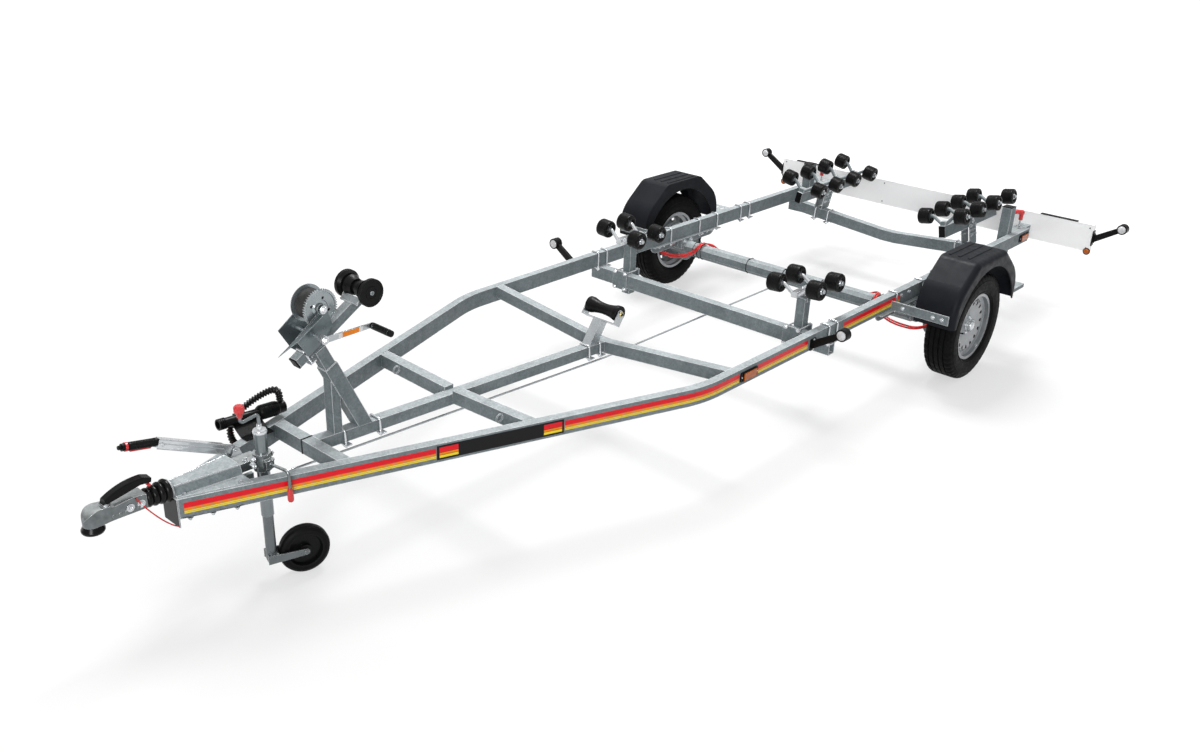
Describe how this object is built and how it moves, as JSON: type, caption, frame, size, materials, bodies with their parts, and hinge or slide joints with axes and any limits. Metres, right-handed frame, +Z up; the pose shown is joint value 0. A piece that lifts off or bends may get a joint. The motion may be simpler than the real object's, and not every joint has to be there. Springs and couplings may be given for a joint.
{
  "type": "boat trailer",
  "caption": "Single-axle boat trailer: galvanised V-nose frame with keel and hull rollers, winch post, overrun coupling, jockey wheel, mudguards and tail light board.",
  "frame": {"origin": "on the ground, mid-length and mid-width", "axes": "+X forward to the coupling, +Y to the trailer's left side, +Z up"},
  "size_m": [5.9095, 2.6084, 1.0996],
  "materials": {
    "black_plastic": "satin",
    "black_rubber": "satin",
    "galvanised_steel": "galvanised satin",
    "orange_lens": "gloss",
    "red_cable": "gloss",
    "red_plastic": "gloss",
    "tyre_rubber": "matte",
    "wheel_silver": "silver paint",
    "white_panel": "gloss",
    "zinc_plate": "bright zinc"
  },
  "bodies": {
    "frame": {"axle_beam": "galvanised_steel", "board_arms": "galvanised_steel", "bow_arm": "galvanised_steel", "brake_rod": "zinc_plate", "bunk_cross_beam": "galvanised_steel", "cables": "red_cable", "coupling_handle": "black_plastic", "coupling_head": "zinc_plate", "coupling_rubbers": "black_rubber", "drawbar_cover": "galvanised_steel", "front_cross_member": "galvanised_steel", "handbrake_bracket": "zinc_plate", "jockey_clamp": "zinc_plate", "jockey_tube": "zinc_plate", "keel_cross_member": "galvanised_steel", "keel_post": "galvanised_steel", "light_board": "white_panel", "mid_cross_member": "galvanised_steel", "mid_roller_posts": "galvanised_steel", "mudguard_stays": "galvanised_steel", "mudguards": "black_plastic", "overrun_housing": "galvanised_steel", "plug_holder": "black_plastic", "rear_cross_member": "galvanised_steel", "rear_roller_brackets": "galvanised_steel", "red_grips": "red_plastic", "side_beam_left": "galvanised_steel", "side_beam_right": "galvanised_steel", "side_markers": "orange_lens", "spine_beam": "galvanised_steel", "stalk_lamps": "black_plastic", "winch_frame": "zinc_plate", "winch_post": "galvanised_steel"},
    "wheel_left": {"tyre_left": "tyre_rubber", "rim_left": "wheel_silver"},
    "wheel_right": {"tyre_right": "tyre_rubber", "rim_right": "wheel_silver"},
    "jockey_swivel": {"jockey_fork": "galvanised_steel"},
    "jockey_wheel": {"jockey_wheel": "black_rubber"},
    "handbrake": {"handbrake_lever": "zinc_plate"},
    "winch_drum": {"winch_drum": "zinc_plate"},
    "winch_crank": {"winch_crank": "zinc_plate"},
    "bow_roller": {"bow_roller": "black_rubber"},
    "keel_roller": {"keel_roller": "black_rubber"},
    "mid_cradle_left": {"mid_cradle_left": "zinc_plate"},
    "mid_rollers_left_front": {"mid_rollers_left_front": "black_rubber"},
    "mid_rollers_left_rear": {"mid_rollers_left_rear": "black_rubber"},
    "mid_cradle_right": {"mid_cradle_right": "zinc_plate"},
    "mid_rollers_right_front": {"mid_rollers_right_front": "black_rubber"},
    "mid_rollers_right_rear": {"mid_rollers_right_rear": "black_rubber"},
    "rear_rocker_left": {"rear_rocker_left": "galvanised_steel"},
    "rear_rollers_left_1": {"rear_rollers_left_1": "black_rubber"},
    "rear_rollers_left_2": {"rear_rollers_left_2": "black_rubber"},
    "rear_rollers_left_3": {"rear_rollers_left_3": "black_rubber"},
    "rear_rollers_left_4": {"rear_rollers_left_4": "black_rubber"},
    "rear_rocker_right": {"rear_rocker_right": "galvanised_steel"},
    "rear_rollers_right_1": {"rear_rollers_right_1": "black_rubber"},
    "rear_rollers_right_2": {"rear_rollers_right_2": "black_rubber"},
    "rear_rollers_right_3": {"rear_rollers_right_3": "black_rubber"},
    "rear_rollers_right_4": {"rear_rollers_right_4": "black_rubber"}
  },
  "joints": [
    {"name": "wheel_left_spin", "type": "hinge", "parent": "frame", "child": "wheel_left", "pos_m": [-1.457, 1.015, 0.294], "axis": [0, 1, 0], "continuous": true},
    {"name": "wheel_right_spin", "type": "hinge", "parent": "frame", "child": "wheel_right", "pos_m": [-1.457, -1.015, 0.294], "axis": [0, 1, 0], "continuous": true},
    {"name": "jockey_swivel_turn", "type": "hinge", "parent": "frame", "child": "jockey_swivel", "pos_m": [2.284, 0.06, 0.1], "axis": [0, 0, 1], "continuous": true},
    {"name": "jockey_wheel_spin", "type": "hinge", "parent": "jockey_swivel", "child": "jockey_wheel", "pos_m": [2.16322, 0.09924, 0.1], "axis": [0.309, 0.9511, 0], "continuous": true},
    {"name": "handbrake_pull", "type": "hinge", "parent": "frame", "child": "handbrake", "pos_m": [2.307, -0.096, 0.508], "axis": [0, -1, 0], "range_deg": [0, 60]},
    {"name": "winch_drum_spin", "type": "hinge", "parent": "frame", "child": "winch_drum", "pos_m": [1.97653, 0, 1.02505], "axis": [0, 1, 0], "continuous": true},
    {"name": "winch_crank_spin", "type": "hinge", "parent": "frame", "child": "winch_crank", "pos_m": [2.01308, 0, 0.92982], "axis": [0, 1, 0], "continuous": true},
    {"name": "bow_roller_spin", "type": "hinge", "parent": "frame", "child": "bow_roller", "pos_m": [1.76594, 0, 1.03959], "axis": [0, 1, 0], "continuous": true},
    {"name": "keel_roller_spin", "type": "hinge", "parent": "frame", "child": "keel_roller", "pos_m": [0.32099, 0, 0.56517], "axis": [0, 1, 0], "continuous": true},
    {"name": "mid_cradle_left_rock", "type": "hinge", "parent": "frame", "child": "mid_cradle_left", "pos_m": [-0.5413, 0.57198, 0.58314], "axis": [0, 0.9976, 0.0698], "range_deg": [-12, 12]},
    {"name": "mid_rollers_left_front_spin", "type": "hinge", "parent": "mid_cradle_left", "child": "mid_rollers_left_front", "pos_m": [-0.4553, 0.568, 0.64], "axis": [0, 0.9976, 0.0698], "continuous": true},
    {"name": "mid_rollers_left_rear_spin", "type": "hinge", "parent": "mid_cradle_left", "child": "mid_rollers_left_rear", "pos_m": [-0.6273, 0.568, 0.64], "axis": [0, 0.9976, 0.0698], "continuous": true},
    {"name": "mid_cradle_right_rock", "type": "hinge", "parent": "frame", "child": "mid_cradle_right", "pos_m": [-0.5413, -0.57198, 0.58314], "axis": [0, 0.9976, -0.0698], "range_deg": [-12, 12]},
    {"name": "mid_rollers_right_front_spin", "type": "hinge", "parent": "mid_cradle_right", "child": "mid_rollers_right_front", "pos_m": [-0.4553, -0.568, 0.64], "axis": [0, 0.9976, -0.0698], "continuous": true},
    {"name": "mid_rollers_right_rear_spin", "type": "hinge", "parent": "mid_cradle_right", "child": "mid_rollers_right_rear", "pos_m": [-0.6273, -0.568, 0.64], "axis": [0, 0.9976, -0.0698], "continuous": true},
    {"name": "rear_rocker_left_rock", "type": "hinge", "parent": "frame", "child": "rear_rocker_left", "pos_m": [-2.515, 0.50217, 0.53565], "axis": [0, 0.9816, 0.1908], "range_deg": [-8, 8]},
    {"name": "rear_rollers_left_1_spin", "type": "hinge", "parent": "rear_rocker_left", "child": "rear_rollers_left_1", "pos_m": [-2.191, 0.485, 0.624], "axis": [0, 0.9816, 0.1908], "continuous": true},
    {"name": "rear_rollers_left_2_spin", "type": "hinge", "parent": "rear_rocker_left", "child": "rear_rollers_left_2", "pos_m": [-2.407, 0.485, 0.624], "axis": [0, 0.9816, 0.1908], "continuous": true},
    {"name": "rear_rollers_left_3_spin", "type": "hinge", "parent": "rear_rocker_left", "child": "rear_rollers_left_3", "pos_m": [-2.623, 0.485, 0.624], "axis": [0, 0.9816, 0.1908], "continuous": true},
    {"name": "rear_rollers_left_4_spin", "type": "hinge", "parent": "rear_rocker_left", "child": "rear_rollers_left_4", "pos_m": [-2.839, 0.485, 0.624], "axis": [0, 0.9816, 0.1908], "continuous": true},
    {"name": "rear_rocker_right_rock", "type": "hinge", "parent": "frame", "child": "rear_rocker_right", "pos_m": [-2.515, -0.50217, 0.53565], "axis": [0, 0.9816, -0.1908], "range_deg": [-8, 8]},
    {"name": "rear_rollers_right_1_spin", "type": "hinge", "parent": "rear_rocker_right", "child": "rear_rollers_right_1", "pos_m": [-2.191, -0.485, 0.624], "axis": [0, 0.9816, -0.1908], "continuous": true},
    {"name": "rear_rollers_right_2_spin", "type": "hinge", "parent": "rear_rocker_right", "child": "rear_rollers_right_2", "pos_m": [-2.407, -0.485, 0.624], "axis": [0, 0.9816, -0.1908], "continuous": true},
    {"name": "rear_rollers_right_3_spin", "type": "hinge", "parent": "rear_rocker_right", "child": "rear_rollers_right_3", "pos_m": [-2.623, -0.485, 0.624], "axis": [0, 0.9816, -0.1908], "continuous": true},
    {"name": "rear_rollers_right_4_spin", "type": "hinge", "parent": "rear_rocker_right", "child": "rear_rollers_right_4", "pos_m": [-2.839, -0.485, 0.624], "axis": [0, 0.9816, -0.1908], "continuous": true}
  ],
  "couplings": [
    {"joint": "winch_crank_spin", "follows": "winch_drum_spin", "ratio": -2.4}
  ]
}
